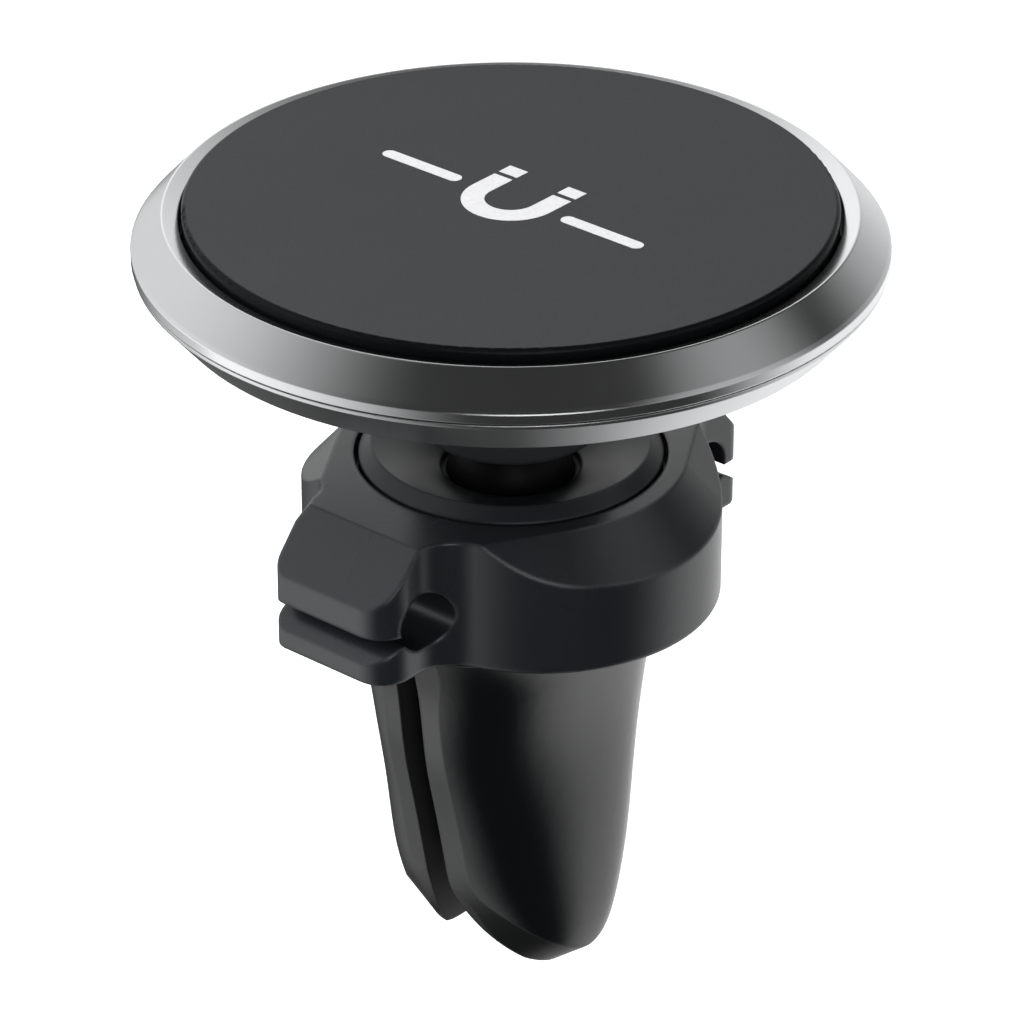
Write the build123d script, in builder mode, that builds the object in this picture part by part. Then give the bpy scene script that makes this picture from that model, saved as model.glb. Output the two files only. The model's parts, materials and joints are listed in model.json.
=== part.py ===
from build123d import *
import math
import os

# Car phone mount: a magnetic head on a ball joint, over a sprung two-jaw clip for an air vent's vane.
# Origin: middle of the gap between the jaws, in the plane of the housing's underside.
# +Z points from the vent to the phone, X runs through the two cable clips, the jaws open along Y.

# ---------------------------------------------------------------- driving dimensions, mm

# head
RING_R = 25.0
RING_CREASE_R = 24.8
RING_CREASE_Z = 25.5
RING_LIP_R = 22.9
RING_LIP_Z = 27.55
RING_BORE_R = 21.8
RING_BORE_Z = 27.18
RING_FOOT_Z = 24.6
RING_SPIGOT_OUT = 23.4
RING_SPIGOT_IN = 22.3
SEAM = 0.15
PAD_R = 21.6
PAD_T = 1.55
FACE_Z = 28.05
FILM_T = 0.15
FILM_Z = FACE_Z - PAD_T - FILM_T
COVER_R = RING_R - 0.1
COVER_TOP = RING_FOOT_Z - SEAM
COVER_RIM_R = 22.9
COVER_RIM_Z = 21.85
COVER_FLOOR_Z = 23.2
BOSS_R = 6.15
BOSS_Z = 11.37
BOSS_ROOT_R = 7.0
BOSS_ROOT_Z = 18.6
WELL_R = 4.0
YOKE_T = 0.9
TRAY_Z = COVER_FLOOR_Z + YOKE_T
TRAY_TOP = FILM_Z
TRAY_SCREW_PITCH_R = 7.0
MAGNET_COUNT = 6
MAGNET_R = 5.0
MAGNET_T = 1.8
MAGNET_PITCH_R = 13.4

# ball joint
BALL_R = 4.3
BALL_Z = 7.6
BALL_FIT = 0.06
CORE_R = 2.0
SPIGOT_R = 2.2
SPIGOT_TOP = 17.0
SPIGOT_FIT = 0.05
WELL_Z = SPIGOT_TOP + 0.2
SEAT_R = 7.6
SEAT_FOOT_Z = 4.5
SEAT_GAP = 0.1
SPRING_T = 0.4

# housing
HOUSING_H = 9.4
LOBE_R = 12.15
LOBE_Y = 2.7
EAR_X = 17.8
EAR_NARROW = 4.45
EAR_WIDE = 5.6
CORNER_WIDE = 1.0
CORNER_NARROW = 2.3
ROOT_FILLET = 3.1
PLATEAU_R = 11.9
PLATEAU_X = 14.45
PLATEAU_SIDE_DEG = 31.5
SHOULDER_DEG = 41.0
COLLAR_R = 10.26
COLLAR_GAP = 0.31
COLLAR_CREASE_R = 9.41
COLLAR_TOP = HOUSING_H + 0.85
COLLAR_SEAT_Z = 7.6
COLLAR_UNDER_Z = 8.0
THROAT_R = 4.75
BORE_R = 8.95
BASE_R = 10.7
BASE_TOP = 3.0
BASE_FIT = 0.1
BASE_UNDER = 0.1
SCREW_R = 0.7
SCREW_DEPTH = 2.6
SCREW_HEAD_R = 1.4
SCREW_HEAD_T = 0.95
SCREW_UNDER = BASE_UNDER + 0.15
BASE_SCREW_AT = ((5.0, 10.0), (-5.0, 10.0), (-5.0, -10.0), (5.0, -10.0))
UNDER_EDGE = 0.3

# cable clips
CLIP_X = 14.1
CLIP_Z = 3.95
CLIP_R = 2.05
SLOT_TOP = 3.55
SLOT_CREST = 2.75
SLOT_MOUTH = 1.45
SLOT_FLARE = 1.7

# jaws
GAP_HALF = 0.94
JAW_TOP = -0.55
# half-width and height down a jaw's edge, in the plane of the gap
JAW_EDGE = (
    (11.9, JAW_TOP),
    (10.75, -4.2),
    (10.0, -10.0),
    (9.05, -14.5),
    (8.15, -18.8),
    (7.4, -22.0),
    (6.1, -25.2),
    (4.5, -28.2),
    (2.4, -30.9),
)
JAW_TIP = (0.0, -32.2)
EDGE_DEPTH = 14.0
EDGE_RISE = 0.025 * EDGE_DEPTH
# the rounded outside: height, centre along Y, half-width and half-depth of the oval there
JAW_ROUND = (
    (JAW_TOP, 0, 12.42, 9.0),
    (-4.0, 0, 11.1, 8.1),
    (-9.6, 0, 10.32, 7.3),
    (-14.0, 0, 9.33, 7.3),
    (-18.1, 0, 8.4, 7.5),
    (-21.2, 0, 7.6, 7.6),
    (-23.9, 0.7, 6.34, 6.9),
    (-26.2, 1.9, 4.88, 5.5),
    (-28.2, 3.0, 3.1, 3.9),
    (-30.5, 4.0, 1.8, 1.9),
)
OVAL_POWER = 2.4
FLARE_TOP = -20.0
FLARE_R = 14.9
FLARE_DEG = 60.0
PAD_EDGE = ((9.0, -2.6), (8.4, -8.0), (7.4, -14.0), (6.5, -18.0))
PAD_FOOT_Z = -19.2
PAD_CORNER = 1.0
PAD_POCKET = 0.5
PAD_PROUD = 0.3
PIVOT_Y = 2.4
PIVOT_Z = 1.35
PIN_R = 0.5
KNUCKLE_R = 1.1
KNUCKLE_HALF = 4.5
NECK_HALF = 4.2
POCKET_HALF = 6.4
POCKET_R = 1.35
PIN_HALF = 9.6
PIN_FIT = 0.02
PIVOT_FIT = 0.06
COIL_X = 4.85
COIL_LENGTH = 1.2
COIL_PITCH = 0.4
COIL_R = 0.75
WIRE_R = 0.12

os.makedirs("parts", exist_ok=True)


def save(part, label):
    """Label a finished piece and write it."""
    part.label = label
    export_step(part, f"parts/{label}.step")


# ---------------------------------------------------------------- head

# Contact pad: the dark disc that the phone lies on, with a soft edge.
with BuildPart() as contact_pad:
    with BuildSketch(Plane.XY.offset(FACE_Z - PAD_T)):
        Circle(PAD_R)
    extrude(amount=PAD_T)
    fillet(contact_pad.edges().group_by(Axis.Z)[-1], radius=0.35)
save(contact_pad.part, "contact_pad")

# Adhesive film that holds the pad to the magnet tray.
with BuildPart() as adhesive_film:
    with BuildSketch(Plane.XY.offset(FILM_Z)):
        Circle(PAD_R - 0.5)
    extrude(amount=FILM_T)
save(adhesive_film.part, "adhesive_film")

# Bezel ring: turned aluminium, with a lip, a wide upper bevel, a narrow band and a spigot below.
with BuildPart() as bezel_ring:
    with BuildSketch(Plane.XZ):
        with BuildLine():
            Polyline(
                (RING_BORE_R, RING_BORE_Z),
                (RING_LIP_R, RING_LIP_Z),
                (RING_CREASE_R, RING_CREASE_Z),
                (RING_R, RING_CREASE_Z - 0.25),
                (RING_R, RING_FOOT_Z),
                (RING_SPIGOT_OUT, RING_FOOT_Z),
                (RING_SPIGOT_OUT, COVER_FLOOR_Z + 0.3),
                (RING_SPIGOT_IN, COVER_FLOOR_Z + 0.3),
                (RING_SPIGOT_IN, RING_FOOT_Z + 0.4),
                (RING_BORE_R, RING_FOOT_Z + 0.4),
                close=True,
            )
        make_face()
    revolve(axis=Axis.Z)
    lip_edges = bezel_ring.edges().filter_by(GeomType.CIRCLE).sort_by(Axis.Z)[-2:]
    fillet(lip_edges, radius=0.12)
save(bezel_ring.part, "bezel_ring")

# Rear cover: dished shell under the ring, with the boss that holds the ball stud.
with BuildPart() as rear_cover:
    with BuildSketch(Plane.XZ):
        with BuildLine():
            Polyline(
                (0, BOSS_Z),
                (BOSS_R, BOSS_Z),
                (BOSS_ROOT_R, BOSS_ROOT_Z - 0.8),
                (BOSS_ROOT_R + 2.4, BOSS_ROOT_Z + 0.6),
                (COVER_RIM_R - 0.6, COVER_RIM_Z - 0.1),
                (COVER_RIM_R, COVER_RIM_Z),
                (COVER_R, COVER_TOP - 0.25),
                (COVER_R, COVER_TOP),
                (RING_SPIGOT_OUT + 0.05, COVER_TOP),
                (RING_SPIGOT_OUT + 0.05, COVER_FLOOR_Z),
                (0, COVER_FLOOR_Z),
                close=True,
            )
        make_face()
    revolve(axis=Axis.Z)
    # hollow between the floor and the dished underside
    with BuildSketch(Plane.XZ):
        with BuildLine():
            Polyline((9.8, COVER_FLOOR_Z), (9.8, 20.9), (20.2, 22.6), (20.2, COVER_FLOOR_Z), close=True)
        make_face()
    revolve(axis=Axis.Z, mode=Mode.SUBTRACT)
    with Locations((0, 0, COVER_FLOOR_Z)):
        CounterBoreHole(SPIGOT_R + SPIGOT_FIT, WELL_R, COVER_FLOOR_Z - WELL_Z)
    boss_rim = rear_cover.edges().filter_by(GeomType.CIRCLE).group_by(Axis.Z)[0].sort_by(SortBy.RADIUS)[-1:]
    fillet(boss_rim, radius=0.5)
    # pilot holes for the three tray screws
    with Locations(Plane.XY.offset(COVER_FLOOR_Z)):
        with PolarLocations(TRAY_SCREW_PITCH_R, 3, start_angle=90):
            Hole(0.6, depth=3.4)
save(rear_cover.part, "rear_cover")

# Yoke: steel plate behind the magnets.
with BuildPart() as steel_yoke:
    with BuildSketch(Plane.XY.offset(COVER_FLOOR_Z)):
        Circle(20.4)
        Circle(WELL_R, mode=Mode.SUBTRACT)
        with PolarLocations(TRAY_SCREW_PITCH_R, 3, start_angle=90):
            Circle(0.9, mode=Mode.SUBTRACT)
    extrude(amount=YOKE_T)
save(steel_yoke.part, "steel_yoke")

# Magnet tray: plastic disc with one pocket for each magnet, open at the top.
with BuildPart() as magnet_tray:
    with BuildSketch(Plane.XY.offset(TRAY_Z)):
        Circle(20.8)
    extrude(amount=TRAY_TOP - TRAY_Z)
    with BuildSketch(Plane.XY.offset(TRAY_TOP)):
        with PolarLocations(MAGNET_PITCH_R, MAGNET_COUNT):
            Circle(MAGNET_R + 0.1)
        Circle(WELL_R)
    extrude(amount=-MAGNET_T, mode=Mode.SUBTRACT)
    with Locations(Plane.XY.offset(TRAY_TOP)):
        with PolarLocations(TRAY_SCREW_PITCH_R, 3, start_angle=90):
            CounterBoreHole(0.9, 1.6, 1.2)
save(magnet_tray.part, "magnet_tray")

# Magnets: six discs, in one group.
with BuildPart() as magnet_set:
    with BuildSketch(Plane.XY.offset(TRAY_TOP - MAGNET_T)):
        with PolarLocations(MAGNET_PITCH_R, MAGNET_COUNT):
            Circle(MAGNET_R)
    extrude(amount=MAGNET_T - 0.05)
save(magnet_set.part, "magnet_set")

# Tray screws: three pan-head screws through tray and yoke into the cover.
with BuildPart() as tray_screws:
    with BuildSketch(Plane.XY.offset(COVER_FLOOR_Z - 3.0)):
        with PolarLocations(TRAY_SCREW_PITCH_R, 3, start_angle=90):
            Circle(0.55)
    extrude(amount=TRAY_TOP - 1.2 - COVER_FLOOR_Z + 3.0)
    with BuildSketch(Plane.XY.offset(TRAY_TOP - 1.2)):
        with PolarLocations(TRAY_SCREW_PITCH_R, 3, start_angle=90):
            Circle(1.5)
    extrude(amount=0.9)
    with BuildSketch(Plane.XY.offset(TRAY_TOP - 0.3)):
        with PolarLocations(TRAY_SCREW_PITCH_R, 3, start_angle=90):
            Rectangle(1.9, 0.35)
            Rectangle(0.35, 1.9)
    extrude(amount=-0.5, mode=Mode.SUBTRACT)
save(tray_screws.part, "tray_screws")

# ---------------------------------------------------------------- ball joint

# Ball stud: ball, short neck and a spigot with a threaded bore from the top.
with BuildPart() as ball_stud:
    with Locations((0, 0, BALL_Z)):
        Sphere(BALL_R)
    with BuildSketch(Plane.XY.offset(BALL_Z)):
        Circle(SPIGOT_R)
    extrude(amount=SPIGOT_TOP - BALL_Z)
    with Locations((0, 0, BALL_Z)):
        Sphere(CORE_R + SPIGOT_FIT, mode=Mode.SUBTRACT)
    with Locations((0, 0, SPIGOT_TOP)):
        Hole(1.2, depth=5.0)
save(ball_stud.part, "ball_stud")

# Steel core inside the moulded ball.
with BuildPart() as ball_core:
    with Locations((0, 0, BALL_Z)):
        Sphere(CORE_R)
save(ball_core.part, "ball_core")

# Stud screw: holds the head on the stud, with a washer face over the boss.
with BuildPart() as stud_screw:
    with BuildSketch(Plane.XY.offset(SPIGOT_TOP - 4.5)):
        Circle(1.15)
    extrude(amount=4.5)
    with BuildSketch(Plane.XY.offset(SPIGOT_TOP)):
        Circle(1.9)
    extrude(amount=0.35)
    with BuildSketch(Plane.XY.offset(SPIGOT_TOP + 0.35)):
        Circle(3.1)
    extrude(amount=1.6)
    with BuildSketch(Plane.XY.offset(SPIGOT_TOP + 1.95)):
        RegularPolygon(1.4, 6)
    extrude(amount=-1.1, mode=Mode.SUBTRACT)
save(stud_screw.part, "stud_screw")

# ---------------------------------------------------------------- housing


def ear_points(wide, narrow):
    """Corners of one ear in plan: wide side first, from the middle outwards and back."""
    return (0, wide), (-EAR_X, wide), (-EAR_X, -narrow), (0, -narrow)


with BuildPart() as housing:
    # vertical walls: two overlapping lobes and an ear at each side
    with BuildSketch() as walls:
        with Locations((0, LOBE_Y), (0, -LOBE_Y)):
            Circle(LOBE_R)
        for turn in (0, 180):
            with BuildLine(Plane.XY.rotated((0, 0, turn))):
                Polyline(*ear_points(EAR_WIDE, EAR_NARROW), close=True)
            make_face()
        for side, radius in ((EAR_WIDE, CORNER_WIDE), (EAR_NARROW, CORNER_NARROW)):
            ends = walls.vertices().filter_by(lambda v: abs(v.X) > EAR_X - 0.1 and abs(abs(v.Y) - side) < 0.01)
            fillet(ends, radius=radius)
        roots = walls.vertices().filter_by(lambda v: 10 < abs(v.X) < 12.5 and abs(v.Y) > 4)
        fillet(roots, radius=ROOT_FILLET)
    extrude(amount=HOUSING_H)
    # sloping shoulders: the plateau's outline spreads downwards at a constant angle
    side = math.radians(PLATEAU_SIDE_DEG)
    corner_y = (PLATEAU_R - PLATEAU_X * math.sin(side)) / math.cos(side)
    tip_y = PLATEAU_R / math.cos(side)
    with BuildSketch(Plane.XY.offset(HOUSING_H)) as plateau:
        with BuildLine():
            Polyline(
                (-PLATEAU_X, -corner_y),
                (0, -tip_y),
                (PLATEAU_X, -corner_y),
                (PLATEAU_X, corner_y),
                (0, tip_y),
                (-PLATEAU_X, corner_y),
                close=True,
            )
        make_face()
        fillet(plateau.vertices().filter_by(lambda v: abs(v.X) < 0.01), radius=PLATEAU_R)
    extrude(amount=-HOUSING_H, taper=-SHOULDER_DEG, mode=Mode.INTERSECT)
    fillet(housing.edges().group_by(Axis.Z)[0], radius=UNDER_EDGE)
    # stepped bore: collar on top, seats below it, then the recess for the base plate
    with BuildSketch(Plane.XY.offset(HOUSING_H)):
        Circle(COLLAR_R + COLLAR_GAP)
    extrude(amount=COLLAR_SEAT_Z - HOUSING_H, mode=Mode.SUBTRACT)
    with BuildSketch(Plane.XY.offset(COLLAR_SEAT_Z)):
        Circle(BORE_R)
    extrude(amount=BASE_TOP - COLLAR_SEAT_Z, mode=Mode.SUBTRACT)
    with BuildSketch():
        with Locations((0, LOBE_Y), (0, -LOBE_Y)):
            Circle(BASE_R + BASE_FIT)
    extrude(amount=BASE_TOP, mode=Mode.SUBTRACT)
    # cable clips: a round channel along Y, opened at the ear's end by a slot with a flared lower lip
    for turn in (0, 180):
        with BuildSketch(Plane.XZ.rotated((0, 0, turn))):
            with Locations((-CLIP_X, CLIP_Z)):
                Circle(CLIP_R)
            with BuildLine():
                Line((-CLIP_X, SLOT_TOP), (-EAR_X - 1, SLOT_TOP))
                Line((-EAR_X - 1, SLOT_TOP), (-EAR_X - 1, SLOT_MOUTH))
                Line((-EAR_X - 1, SLOT_MOUTH), (-EAR_X, SLOT_MOUTH))
                Spline(
                    (-EAR_X, SLOT_MOUTH),
                    (-EAR_X + 0.75, SLOT_MOUTH + 0.72),
                    (-EAR_X + SLOT_FLARE, SLOT_CREST),
                )
                Line((-EAR_X + SLOT_FLARE, SLOT_CREST), (-CLIP_X, SLOT_CREST))
                Line((-CLIP_X, SLOT_CREST), (-CLIP_X, SLOT_TOP))
            make_face()
        extrude(amount=20, both=True, mode=Mode.SUBTRACT)
    # pilot holes for the base screws
    with BuildSketch(Plane.XY.offset(BASE_TOP)):
        with Locations(*BASE_SCREW_AT):
            Circle(SCREW_R + 0.05)
    extrude(amount=SCREW_DEPTH, mode=Mode.SUBTRACT)
save(housing.part, "housing")

# Collar ring: fills the top of the housing; its face rolls down into the throat.
with BuildPart() as collar_ring:
    with BuildSketch(Plane.XZ):
        with BuildLine():
            Line((BORE_R - SPIGOT_FIT, SEAT_FOOT_Z), (BORE_R - SPIGOT_FIT, COLLAR_SEAT_Z))
            Line((BORE_R - SPIGOT_FIT, COLLAR_SEAT_Z), (COLLAR_R, COLLAR_SEAT_Z))
            Line((COLLAR_R, COLLAR_SEAT_Z), (COLLAR_R, HOUSING_H))
            Line((COLLAR_R, HOUSING_H), (COLLAR_CREASE_R, COLLAR_TOP))
            ThreePointArc((COLLAR_CREASE_R, COLLAR_TOP), (7.2, 9.55), (THROAT_R, COLLAR_UNDER_Z + 0.4))
            Line((THROAT_R, COLLAR_UNDER_Z + 0.4), (THROAT_R, COLLAR_UNDER_Z))
            Line((THROAT_R, COLLAR_UNDER_Z), (SEAT_R + 0.05, COLLAR_UNDER_Z))
            Line((SEAT_R + 0.05, COLLAR_UNDER_Z), (SEAT_R + 0.05, SEAT_FOOT_Z))
            Line((SEAT_R + 0.05, SEAT_FOOT_Z), (BORE_R - SPIGOT_FIT, SEAT_FOOT_Z))
        make_face()
    revolve(axis=Axis.Z)
save(collar_ring.part, "collar_ring")

# Upper seat: the ring that keeps the ball down.
with BuildPart() as upper_seat:
    with BuildSketch(Plane.XY.offset(BALL_Z)):
        Circle(SEAT_R)
    extrude(amount=COLLAR_UNDER_Z - BALL_Z)
    with Locations((0, 0, BALL_Z)):
        Sphere(BALL_R + BALL_FIT, mode=Mode.SUBTRACT)
save(upper_seat.part, "upper_seat")

# Lower seat: the cup that the spring presses against the ball.
with BuildPart() as lower_seat:
    with BuildSketch(Plane.XY.offset(SEAT_FOOT_Z)):
        Circle(SEAT_R)
    extrude(amount=BALL_Z - 2 * SEAT_GAP - SEAT_FOOT_Z)
    with Locations((0, 0, BALL_Z)):
        Sphere(BALL_R + BALL_FIT, mode=Mode.SUBTRACT)
save(lower_seat.part, "lower_seat")

# Seat spring: a disc spring between the base plate and the lower seat.
with BuildPart() as seat_spring:
    with BuildSketch(Plane.XZ):
        with BuildLine():
            Polyline(
                (8.2, BASE_TOP),
                (8.2, BASE_TOP + SPRING_T),
                (4.6, SEAT_FOOT_Z),
                (4.6, SEAT_FOOT_Z - SPRING_T),
                close=True,
            )
        make_face()
    revolve(axis=Axis.Z)
save(seat_spring.part, "seat_spring")

# Base plate: closes the housing; two pockets open at the bottom take the jaws' pivot barrels.
with BuildPart() as base_plate:
    with BuildSketch(Plane.XY.offset(BASE_UNDER)):
        with Locations((0, LOBE_Y), (0, -LOBE_Y)):
            Circle(BASE_R)
    extrude(amount=BASE_TOP - BASE_UNDER)
    with BuildSketch(Plane.YZ):
        with Locations((-PIVOT_Y, PIVOT_Z), (PIVOT_Y, PIVOT_Z)):
            Circle(POCKET_R)
        with Locations((-PIVOT_Y, PIVOT_Z - 1), (PIVOT_Y, PIVOT_Z - 1)):
            Rectangle(2 * POCKET_R, 2)
    extrude(amount=POCKET_HALF, both=True, mode=Mode.SUBTRACT)
    with BuildSketch(Plane.YZ):
        with Locations((-PIVOT_Y, PIVOT_Z), (PIVOT_Y, PIVOT_Z)):
            Circle(PIN_R + PIN_FIT)
    extrude(amount=BASE_R, both=True, mode=Mode.SUBTRACT)
    with BuildSketch(Plane.XY.offset(BASE_UNDER)):
        with Locations(*BASE_SCREW_AT):
            Circle(SCREW_HEAD_R + 0.1)
    extrude(amount=SCREW_HEAD_T + 0.15, mode=Mode.SUBTRACT)
    with BuildSketch(Plane.XY.offset(BASE_UNDER)):
        with Locations(*BASE_SCREW_AT):
            Circle(SCREW_R + 0.1)
    extrude(amount=BASE_TOP, mode=Mode.SUBTRACT)
save(base_plate.part, "base_plate")

# Base screws: four pan-head screws up through the plate into the housing, in one group.
with BuildPart() as base_screws:
    with BuildSketch(Plane.XY.offset(SCREW_UNDER)):
        with Locations(*BASE_SCREW_AT):
            Circle(SCREW_HEAD_R)
    extrude(amount=SCREW_HEAD_T)
    with BuildSketch(Plane.XY.offset(SCREW_UNDER)):
        with Locations(*BASE_SCREW_AT):
            Circle(SCREW_R)
    extrude(amount=BASE_TOP + SCREW_DEPTH - 0.2 - SCREW_UNDER)
    with BuildSketch(Plane.XY.offset(SCREW_UNDER)):
        with Locations(*BASE_SCREW_AT):
            Rectangle(1.8, 0.35)
            Rectangle(0.35, 1.8)
    extrude(amount=0.5, mode=Mode.SUBTRACT)
save(base_screws.part, "base_screws")

# Pivot pins: one under each jaw, along X.
with BuildPart() as front_pivot_pin:
    with BuildSketch(Plane.YZ):
        with Locations((-PIVOT_Y, PIVOT_Z)):
            Circle(PIN_R)
    extrude(amount=PIN_HALF, both=True)
    chamfer(front_pivot_pin.edges(), length=0.12)
save(front_pivot_pin.part, "front_pivot_pin")

with BuildPart() as rear_pivot_pin:
    with BuildSketch(Plane.YZ):
        with Locations((PIVOT_Y, PIVOT_Z)):
            Circle(PIN_R)
    extrude(amount=PIN_HALF, both=True)
    chamfer(rear_pivot_pin.edges(), length=0.12)
save(rear_pivot_pin.part, "rear_pivot_pin")

# Jaw springs: a torsion coil round each end of a pin, in one group for each jaw.
with BuildPart() as front_jaw_spring:
    for x in (-COIL_X - COIL_LENGTH, COIL_X):
        with BuildLine() as coil:
            Helix(COIL_PITCH, COIL_LENGTH, COIL_R, center=(x, -PIVOT_Y, PIVOT_Z), direction=(1, 0, 0))
        with BuildSketch(Plane(coil.line @ 0, z_dir=coil.line % 0)):
            Circle(WIRE_R)
        sweep(path=coil.line)
save(front_jaw_spring.part, "front_jaw_spring")

with BuildPart() as rear_jaw_spring:
    for x in (-COIL_X - COIL_LENGTH, COIL_X):
        with BuildLine() as coil:
            Helix(COIL_PITCH, COIL_LENGTH, COIL_R, center=(x, PIVOT_Y, PIVOT_Z), direction=(1, 0, 0))
        with BuildSketch(Plane(coil.line @ 0, z_dir=coil.line % 0)):
            Circle(WIRE_R)
        sweep(path=coil.line)
save(rear_jaw_spring.part, "rear_jaw_spring")

# ---------------------------------------------------------------- jaws

# Barrel and neck that hang a jaw on its pin; drawn for the rear jaw.
with BuildPart() as knuckle:
    with BuildSketch(Plane.XY.offset(PIVOT_Z)):
        with Locations((0, PIVOT_Y + 0.1)):
            Rectangle(2 * NECK_HALF, 1.7)
    extrude(amount=JAW_TOP - PIVOT_Z - 0.6)
    with BuildSketch(Plane.YZ):
        with Locations((PIVOT_Y, PIVOT_Z)):
            Circle(KNUCKLE_R)
    extrude(amount=KNUCKLE_HALF, both=True)
    with BuildSketch(Plane.YZ):
        with Locations((PIVOT_Y, PIVOT_Z)):
            Circle(PIN_R + PIVOT_FIT)
    extrude(amount=KNUCKLE_HALF, both=True, mode=Mode.SUBTRACT)


def oval(centre, half_width, half_depth):
    """Points round a flattened ellipse, squarer than a true one."""
    points = []
    for step in range(16):
        c, s = math.cos(step * math.pi / 8), math.sin(step * math.pi / 8)
        x = half_width * math.copysign(abs(c) ** (2 / OVAL_POWER), c)
        y = half_depth * math.copysign(abs(s) ** (2 / OVAL_POWER), s)
        points.append((x, centre + y))
    return points


# Jaw, drawn at the rear: a half-round body cut to the outline, with its tip curled away from the vane.
with BuildPart() as jaw:
    for depth, rise in ((0, 0), (EDGE_DEPTH, EDGE_RISE)):
        with BuildSketch(Plane.XZ.offset(-GAP_HALF - depth)):
            with BuildLine():
                points = [(w, JAW_TOP + (1 - rise) * (z - JAW_TOP)) for w, z in (*JAW_EDGE, JAW_TIP)]
                edge = Spline(*points, *[(-w, z) for w, z in reversed(points[:-1])])
                Line(edge @ 1, edge @ 0)
            make_face()
    loft(ruled=True)
    for z, centre, half_width, half_depth in JAW_ROUND:
        with BuildSketch(Plane.XY.offset(z)):
            with BuildLine():
                Spline(*oval(centre, half_width, half_depth), periodic=True)
            make_face()
    loft(mode=Mode.INTERSECT)
    with BuildSketch(Plane.YZ):
        with BuildLine():
            half, full = math.radians(FLARE_DEG / 2), math.radians(FLARE_DEG)
            end = (GAP_HALF + FLARE_R * (1 - math.cos(full)), FLARE_TOP - FLARE_R * math.sin(full))
            middle = (GAP_HALF + FLARE_R * (1 - math.cos(half)), FLARE_TOP - FLARE_R * math.sin(half))
            ThreePointArc((GAP_HALF, FLARE_TOP), middle, end)
            Polyline(end, (0, end[1]), (0, FLARE_TOP), (GAP_HALF, FLARE_TOP))
        make_face()
        Polygon((3, JAW_TOP), (14, JAW_TOP), (14, JAW_TOP - 0.8), align=None)
    extrude(amount=15, both=True, mode=Mode.SUBTRACT)
    with BuildSketch(Plane.XZ.offset(-GAP_HALF)) as pocket:
        with BuildLine():
            edge = Spline(*PAD_EDGE)
            foot = Line(edge @ 1, (PAD_EDGE[-1][0] - 0.3, PAD_FOOT_Z))
            mirror([edge, foot], about=Plane.YZ)
            Line(foot @ 1, (-(foot @ 1).X, PAD_FOOT_Z))
            Line((-PAD_EDGE[0][0], PAD_EDGE[0][1]), PAD_EDGE[0])
        make_face()
        fillet(pocket.vertices().filter_by(lambda v: v.Z < PAD_FOOT_Z + 0.01), radius=PAD_CORNER)
    extrude(amount=-PAD_POCKET, mode=Mode.SUBTRACT)
    add(knuckle.part)

with BuildPart() as rear_jaw:
    add(jaw.part)
save(rear_jaw.part, "rear_jaw")

with BuildPart() as front_jaw:
    add(jaw.part.rotate(Axis.Z, 180))
save(front_jaw.part, "front_jaw")

# Jaw pads: soft linings that stand a little proud of the flat inner faces.
with BuildPart() as rear_jaw_pad:
    with BuildSketch(Plane.XZ.offset(-GAP_HALF + PAD_PROUD)):
        add(pocket.sketch_local)
    extrude(amount=-PAD_PROUD - PAD_POCKET)
save(rear_jaw_pad.part, "rear_jaw_pad")

with BuildPart() as front_jaw_pad:
    add(rear_jaw_pad.part.rotate(Axis.Z, 180))
save(front_jaw_pad.part, "front_jaw_pad")
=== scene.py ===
import json
import math

import bmesh
import bpy
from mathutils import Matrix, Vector


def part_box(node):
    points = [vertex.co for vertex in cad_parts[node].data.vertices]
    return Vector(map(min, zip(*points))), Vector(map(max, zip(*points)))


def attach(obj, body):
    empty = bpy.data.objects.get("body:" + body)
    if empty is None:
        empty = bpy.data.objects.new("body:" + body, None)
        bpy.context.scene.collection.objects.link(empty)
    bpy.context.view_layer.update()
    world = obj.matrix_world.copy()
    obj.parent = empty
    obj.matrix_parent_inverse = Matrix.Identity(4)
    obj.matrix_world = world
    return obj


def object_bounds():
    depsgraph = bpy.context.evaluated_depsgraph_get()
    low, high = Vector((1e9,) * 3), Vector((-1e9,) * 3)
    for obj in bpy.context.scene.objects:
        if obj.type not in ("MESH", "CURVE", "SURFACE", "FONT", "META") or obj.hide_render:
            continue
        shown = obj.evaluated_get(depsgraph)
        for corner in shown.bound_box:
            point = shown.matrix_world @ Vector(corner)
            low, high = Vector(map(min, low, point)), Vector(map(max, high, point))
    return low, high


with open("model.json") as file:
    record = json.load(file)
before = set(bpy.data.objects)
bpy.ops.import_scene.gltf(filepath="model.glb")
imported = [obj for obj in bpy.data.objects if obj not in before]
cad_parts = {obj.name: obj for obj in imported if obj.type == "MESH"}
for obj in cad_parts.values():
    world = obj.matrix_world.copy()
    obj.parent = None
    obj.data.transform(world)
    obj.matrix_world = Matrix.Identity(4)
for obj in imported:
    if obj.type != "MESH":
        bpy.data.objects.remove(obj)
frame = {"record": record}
cad_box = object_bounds()
MM = 0.001

# ---------------------------------------------------------------- camera

# Angles in degrees. The camera looks slightly below its target, so its pitch is more than its rise.
CAMERA_TURN = -49.5
CAMERA_RISE = 28.34
CAMERA_PITCH = 28.985
CAMERA_DISTANCE = 0.3675
CAMERA_TARGET = Vector((0, 0, 0.0094))
SENSOR_WIDTH = 36
FOCAL_LENGTH = 192.75


def seen_from(turn, rise, distance):
    """A point at this turn from the camera, in degrees, and this rise over the ground."""
    a = math.radians(CAMERA_TURN + turn)
    e = math.radians(rise)
    return Vector((
        distance * math.sin(a) * math.cos(e),
        -distance * math.cos(a) * math.cos(e),
        distance * math.sin(e),
    ))


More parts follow.
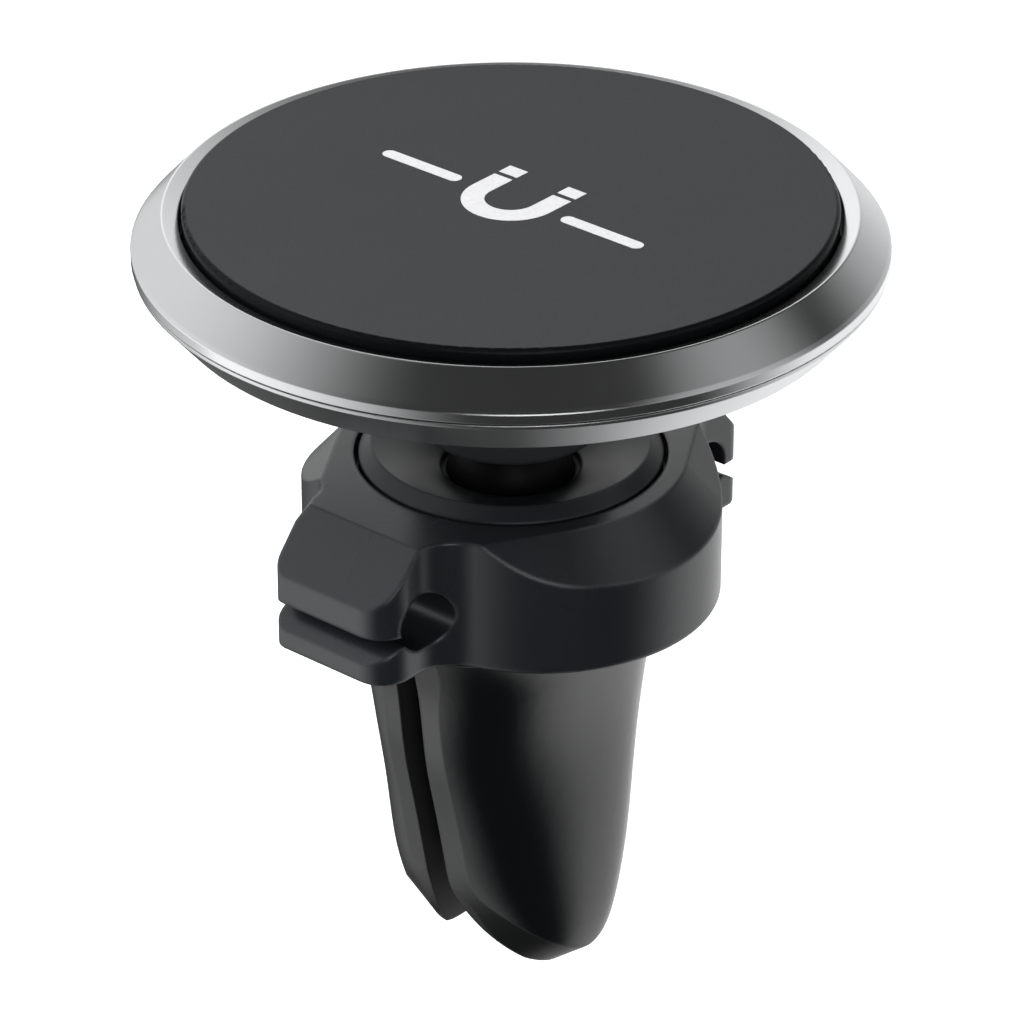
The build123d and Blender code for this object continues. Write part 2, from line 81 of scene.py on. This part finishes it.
camera_data = bpy.data.cameras.new("camera")
camera_data.sensor_width = SENSOR_WIDTH
camera_data.lens = FOCAL_LENGTH
camera = bpy.data.objects.new("camera", camera_data)
bpy.context.collection.objects.link(camera)
camera.location = CAMERA_TARGET + seen_from(0, CAMERA_RISE, CAMERA_DISTANCE)
camera.rotation_euler = (math.radians(90 - CAMERA_PITCH), 0, math.radians(CAMERA_TURN))
bpy.context.scene.camera = camera

# ---------------------------------------------------------------- materials

# sockets A, B and Result of a Mix node, by its data type
MIX_SOCKETS = {"RGBA": (6, 7, 2), "FLOAT": (2, 3, 0)}
BEVEL_SAMPLES = 6
MASK_BLUR = 0.04 * MM
# a face looks towards the gap between the jaws where its Y times its normal's Y is below this
GAP_SIDE = -0.3 * MM
PAD_SHEET_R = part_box("contact_pad")[1][0] - 0.3 * MM
NECK_R = 7.6 * MM


def new_material(name):
    """A material that has only its Principled shader."""
    material = bpy.data.materials.new(name)
    material.use_nodes = True
    return material


def shader_of(material):
    """The material's Principled shader."""
    return material.node_tree.nodes["Principled BSDF"]


def add_node(owner, kind, **values):
    """A node in a material or the world, with the given properties or input values."""
    node = owner.node_tree.nodes.new(kind)
    for name, value in values.items():
        if name in node.inputs:
            node.inputs[name].default_value = value
        else:
            setattr(node, name, value)
    return node


def join(owner, *pairs):
    """Link output to input, pair by pair."""
    for source, target in pairs:
        owner.node_tree.links.new(source, target)


def grained(name, colour, roughness, fine, slow, tinted_by, contrast, spread, bump, depth, edge):
    """A material with a fine grain in its relief and slow patches in its gloss.

    fine and slow are the noises' settings, and tinted_by names the one that varies the colour. contrast
    and spread are how far colour and roughness vary, depth is the grain's and edge rounds sharp edges,
    both in mm.
    """
    material = new_material(name)
    shader = shader_of(material)
    where = add_node(material, "ShaderNodeTexCoord")
    noises = {
        "fine": add_node(material, "ShaderNodeTexNoise", **fine),
        "slow": add_node(material, "ShaderNodeTexNoise", **slow),
    }
    before, after, result = MIX_SOCKETS["RGBA"]
    tint = add_node(material, "ShaderNodeMix", data_type="RGBA")
    tint.inputs[before].default_value = (*[(1 - contrast) * c for c in colour], 1)
    tint.inputs[after].default_value = (*[(1 + contrast) * c for c in colour], 1)
    gloss = add_node(material, "ShaderNodeMapRange")
    gloss.inputs["To Min"].default_value = roughness - spread
    gloss.inputs["To Max"].default_value = roughness + spread
    rounded = add_node(material, "ShaderNodeBevel", samples=BEVEL_SAMPLES, Radius=edge * MM)
    relief = add_node(material, "ShaderNodeBump", Strength=bump, Distance=depth * MM)
    join(
        material,
        (where.outputs["Object"], noises["fine"].inputs["Vector"]),
        (where.outputs["Object"], noises["slow"].inputs["Vector"]),
        (noises[tinted_by].outputs["Fac"], tint.inputs["Factor"]),
        (tint.outputs[result], shader.inputs["Base Color"]),
        (noises["slow"].outputs["Fac"], gloss.inputs["Value"]),
        (gloss.outputs["Result"], shader.inputs["Roughness"]),
        (noises["fine"].outputs["Fac"], relief.inputs["Height"]),
        (rounded.outputs["Normal"], relief.inputs["Normal"]),
        (relief.outputs["Normal"], shader.inputs["Normal"]),
    )
    return material


def moulded(name, colour, roughness, grain=1500.0, bump=0.12, spread=0.05, edge=0.3, shine=0.5):
    """Moulded plastic or rubber, with its grain in the colour too."""
    material = grained(
        name, colour, roughness,
        fine={"Scale": grain, "Detail": 3.0, "Roughness": 0.6},
        slow={"Scale": 120.0, "Detail": 2.0},
        tinted_by="fine", contrast=0.15, spread=spread, bump=bump, depth=0.05, edge=edge,
    )
    shader_of(material).inputs["Specular IOR Level"].default_value = shine
    return material


def turned_metal(name, colour, roughness):
    """Metal with a faint satin grain and slow changes of colour and gloss."""
    material = grained(
        name, colour, roughness,
        fine={"Scale": 6000.0, "Detail": 2.0},
        slow={"Scale": 200.0, "Detail": 3.0},
        tinted_by="slow", contrast=0.04, spread=0.03, bump=0.04, depth=0.02, edge=0.12,
    )
    shader_of(material).inputs["Metallic"].default_value = 1.0
    return material


def beyond(material, radius):
    """A mask that is 1 further than this radius from the Z axis."""
    where = add_node(material, "ShaderNodeTexCoord")
    flat = add_node(material, "ShaderNodeVectorMath", operation="MULTIPLY")
    flat.inputs[1].default_value = (1, 1, 0)
    away = add_node(material, "ShaderNodeVectorMath", operation="LENGTH")
    mask = add_node(material, "ShaderNodeMapRange")
    mask.inputs["From Min"].default_value = radius - MASK_BLUR
    mask.inputs["From Max"].default_value = radius + MASK_BLUR
    join(
        material,
        (where.outputs["Object"], flat.inputs[0]),
        (flat.outputs["Vector"], away.inputs[0]),
        (away.outputs["Value"], mask.inputs["Value"]),
    )
    return mask.outputs["Result"]


def facing_gap(material):
    """A mask that is 1 on the faces that look towards the plane between the jaws."""
    where = add_node(material, "ShaderNodeTexCoord")
    place = add_node(material, "ShaderNodeSeparateXYZ")
    looks = add_node(material, "ShaderNodeSeparateXYZ")
    product = add_node(material, "ShaderNodeMath", operation="MULTIPLY")
    mask = add_node(material, "ShaderNodeMath", operation="LESS_THAN")
    mask.inputs[1].default_value = GAP_SIDE
    join(
        material,
        (where.outputs["Object"], place.inputs[0]),
        (where.outputs["Normal"], looks.inputs[0]),
        (place.outputs["Y"], product.inputs[0]),
        (looks.outputs["Y"], product.inputs[1]),
        (product.outputs[0], mask.inputs[0]),
    )
    return mask.outputs[0]


def overlay(material, mask, colour, roughness):
    """Give the material this colour and roughness where the mask is 1."""
    shader = shader_of(material)
    for name, kind, value in (
        ("Base Color", "RGBA", (*colour, 1)),
        ("Roughness", "FLOAT", roughness),
    ):
        before, after, result = MIX_SOCKETS[kind]
        mix = add_node(material, "ShaderNodeMix", data_type=kind)
        mix.inputs[after].default_value = value
        join(
            material,
            (mask, mix.inputs[0]),
            (shader.inputs[name].links[0].from_socket, mix.inputs[before]),
            (mix.outputs[result], shader.inputs[name]),
        )


def pad_finish():
    """Grained grey sheet with a black moulded edge."""
    material = moulded(
        "pad_rubber", (0.041, 0.042, 0.044), 0.70, grain=5000, bump=0.45, edge=0.15, shine=0.12,
    )
    overlay(material, beyond(material, PAD_SHEET_R), (0.003, 0.0035, 0.004), 0.32)
    return material


def cover_finish():
    """Satin metal with a black neck."""
    material = turned_metal("cover_metal", (0.78, 0.79, 0.80), 0.24)
    metal = beyond(material, NECK_R)
    black = add_node(material, "ShaderNodeMath", operation="SUBTRACT")
    black.inputs[0].default_value = 1.0
    join(
        material,
        (metal, black.inputs[1]),
        (metal, shader_of(material).inputs["Metallic"]),
    )
    overlay(material, black.outputs[0], (0.016, 0.018, 0.020), 0.6)
    return material


def jaw_finish():
    """Glossy black outside, matt where the jaws face each other."""
    material = moulded(
        "jaw_plastic", (0.0020, 0.0030, 0.0040), 0.22, spread=0.03, edge=0.25, shine=0.95,
    )
    overlay(material, facing_gap(material), (0.002, 0.002, 0.002), 0.85)
    return material


FINISHES = {
    "pad_rubber": pad_finish(),
    "adhesive": moulded("adhesive", (0.6, 0.6, 0.58), 0.5),
    "ring_metal": turned_metal("ring_metal", (0.86, 0.87, 0.88), 0.18),
    "cover_metal": cover_finish(),
    "steel": turned_metal("steel", (0.56, 0.56, 0.57), 0.22),
    # the ball stud is near black: painted shade that stands for the dark throat under the head
    "black_steel": moulded("black_steel", (0.002, 0.002, 0.002), 0.5, shine=0.15),
    "magnet_plating": turned_metal("magnet_plating", (0.68, 0.68, 0.66), 0.18),
    "screw_steel": turned_metal("screw_steel", (0.36, 0.36, 0.37), 0.3),
    "spring_steel": turned_metal("spring_steel", (0.46, 0.46, 0.47), 0.25),
    # the ball seats are near black too: painted shade of the same dark throat
    "seat_plastic": moulded("seat_plastic", (0.002, 0.002, 0.002), 0.5, shine=0.2),
    "black_plastic": moulded("black_plastic", (0.0120, 0.0148, 0.0172), 0.27, edge=0.4, shine=0.9),
    "jaw_plastic": jaw_finish(),
    "jaw_rubber": moulded("jaw_rubber", (0.004, 0.004, 0.004), 0.7, bump=0.4, shine=0.3),
}
# the collar is the housing's plastic with a duller finish
OWN_FINISHES = {
    "collar_ring": moulded("collar_plastic", (0.0105, 0.0130, 0.0150), 0.36, edge=0.3, shine=0.45),
}

for entry in frame["record"]["subparts"]:
    node = entry["node"]
    mesh = bpy.data.objects[node].data
    mesh.materials.clear()
    mesh.materials.append(OWN_FINISHES.get(node, FINISHES[entry["material_slot"]]))

# ---------------------------------------------------------------- printed mark

ARC_STEPS = 24
# Sizes in mm: the magnet is a half ring with straight arms, then a gap and a tip on each arm.
PRINT_T = 0.03
MAGNET_OUT = 3.3
MAGNET_IN = 1.75
MAGNET_LEG = 2.2
MAGNET_TIP = 1.15
MAGNET_GAP = 0.45
BAR_FROM = 4.9
BAR_TO = 10.6
BAR_HALF = 0.5


def arc(centre, radius, start, end):
    """Points along an arc, in mm; angles in degrees."""
    steps = [math.radians(start + (end - start) * i / ARC_STEPS) for i in range(ARC_STEPS + 1)]
    return [(centre[0] + radius * math.cos(a), centre[1] + radius * math.sin(a)) for a in steps]


def mark_outlines():
    """A plain horseshoe magnet between two bars: counter-clockwise outlines in mm."""
    shoe = [
        *arc((0, 0), MAGNET_OUT, 180, 360),
        (MAGNET_OUT, MAGNET_LEG),
        (MAGNET_IN, MAGNET_LEG),
        *arc((0, 0), MAGNET_IN, 360, 180),
        (-MAGNET_IN, MAGNET_LEG),
        (-MAGNET_OUT, MAGNET_LEG),
    ]
    low = MAGNET_LEG + MAGNET_GAP
    high = low + MAGNET_TIP
    outlines = [shoe]
    for side in (1, -1):
        ends = sorted((side * MAGNET_IN, side * MAGNET_OUT))
        outlines.append([(ends[0], low), (ends[1], low), (ends[1], high), (ends[0], high)])
        left, right = sorted((side * BAR_FROM, side * BAR_TO))
        outlines.append([*arc((right, 0), BAR_HALF, -90, 90), *arc((left, 0), BAR_HALF, 90, 270)])
    return outlines


def printed_mark():
    """The mark as one thin raised print on the pad, its reading direction along -Y."""
    face_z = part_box("contact_pad")[1][2]
    points = []
    faces = []
    for outline in mark_outlines():
        count = len(outline)
        low = [len(points) + i for i in range(count)]
        high = [i + count for i in low]
        for z in (face_z, face_z + PRINT_T * MM):
            points += [(y * MM, -x * MM, z) for x, y in outline]
        faces += [low[::-1], high]
        faces += [(low[i - 1], low[i], high[i], high[i - 1]) for i in range(count)]
    mesh = bpy.data.meshes.new("printed_mark")
    mesh.from_pydata(points, [], faces)
    white = moulded("white_print", (0.62, 0.62, 0.63), 0.55, grain=3000, edge=0.02, shine=0.3)
    mesh.materials.append(white)
    mark = bpy.data.objects.new("printed_mark", mesh)
    bpy.context.collection.objects.link(mark)
    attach(mark, "head")


printed_mark()

# ---------------------------------------------------------------- floor

FLOOR_HALF = 6
FLOOR_DROP = 0.03
FLOOR_GREY = 0.85
FLOOR_GLOW = 0.55

floor_mesh = bpy.data.meshes.new("floor")
floor_shape = bmesh.new()
bmesh.ops.create_grid(floor_shape, x_segments=1, y_segments=1, size=FLOOR_HALF)
floor_shape.to_mesh(floor_mesh)
floor_shape.free()
floor = bpy.data.objects.new("floor", floor_mesh)
bpy.context.collection.objects.link(floor)
floor.location.z = cad_box[0][2] - FLOOR_DROP
floor.visible_glossy = False
floor.visible_diffuse = False
pale = new_material("floor")
pale_shader = shader_of(pale)
pale_shader.inputs["Base Color"].default_value = (FLOOR_GREY, FLOOR_GREY, FLOOR_GREY, 1)
pale_shader.inputs["Roughness"].default_value = 0.9
pale_shader.inputs["Emission Color"].default_value = (1, 1, 1, 1)
pale_shader.inputs["Emission Strength"].default_value = FLOOR_GLOW
floor_mesh.materials.append(pale)

# ---------------------------------------------------------------- light

# Soft panels in the world's light, which the surfaces reflect: turn from the camera, rise, angle from the
# panel's middle where it fades out, angle where it is full, brightness. The last one is a black card.
PANELS = (
    (-128, -6, 98, 0, 0.69),
    (-84, -28, 63, 13, 0.46),
    (131, -52, 43, 31, 0.20),
    (126, -31, 60, 4, 0.71),
    (70, 18, 38, 0, 0.52),
    (180, 22, 38, 14, 0.42),
    (8, 12, 26, 8, 1.8),
    (-143, -48, 39, 34, -0.53),
)
ROOM = 0.03
BACKDROP = 0.95

# Square lights that don't show in reflections: name, turn from the camera, rise, side in metres, watts.
LIGHTS = (
    ("top", 0, 80, 0.5, 1.2),
    ("left", -80, 48, 0.4, 4.2),
    ("front", 15, 10, 0.5, 1.6),
)
LIGHT_DISTANCE = 0.6
LIGHT_TARGET = Vector((0, 0, 0.005))

world = bpy.data.worlds.new("world")
world.use_nodes = True
bpy.context.scene.world = world
direction = add_node(world, "ShaderNodeTexCoord")
total = add_node(world, "ShaderNodeValue")
total.outputs[0].default_value = ROOM
for turn, rise, fades, full, brightness in PANELS:
    towards = add_node(world, "ShaderNodeVectorMath", operation="DOT_PRODUCT")
    towards.inputs[1].default_value = seen_from(turn, rise, 1)
    panel = add_node(world, "ShaderNodeMapRange", interpolation_type="SMOOTHSTEP")
    panel.inputs["From Min"].default_value = math.cos(math.radians(fades))
    panel.inputs["From Max"].default_value = math.cos(math.radians(full))
    panel.inputs["To Max"].default_value = brightness
    add = add_node(world, "ShaderNodeMath", operation="ADD")
    join(
        world,
        (direction.outputs["Generated"], towards.inputs[0]),
        (towards.outputs["Value"], panel.inputs["Value"]),
        (total.outputs[0], add.inputs[0]),
        (panel.outputs["Result"], add.inputs[1]),
    )
    total = add
dimmest = add_node(world, "ShaderNodeMath", operation="MAXIMUM")
dimmest.inputs[1].default_value = ROOM
# the camera itself sees a plain backdrop
ray = add_node(world, "ShaderNodeLightPath")
plain = add_node(world, "ShaderNodeMix")
plain.inputs["B"].default_value = BACKDROP
background = world.node_tree.nodes["Background"]
background.inputs["Color"].default_value = (1, 1, 1, 1)
join(
    world,
    (total.outputs[0], dimmest.inputs[0]),
    (dimmest.outputs[0], plain.inputs["A"]),
    (ray.outputs["Is Camera Ray"], plain.inputs["Factor"]),
    (plain.outputs["Result"], background.inputs["Strength"]),
)

for name, turn, rise, side, power in LIGHTS:
    data = bpy.data.lights.new(name, "AREA")
    data.size = side
    data.energy = power
    light = bpy.data.objects.new(name, data)
    bpy.context.collection.objects.link(light)
    light.location = seen_from(turn, rise, LIGHT_DISTANCE)
    light.rotation_euler = (LIGHT_TARGET - light.location).to_track_quat("-Z", "Y").to_euler()
    light.visible_glossy = False

bpy.context.scene.view_settings.view_transform = "Standard"
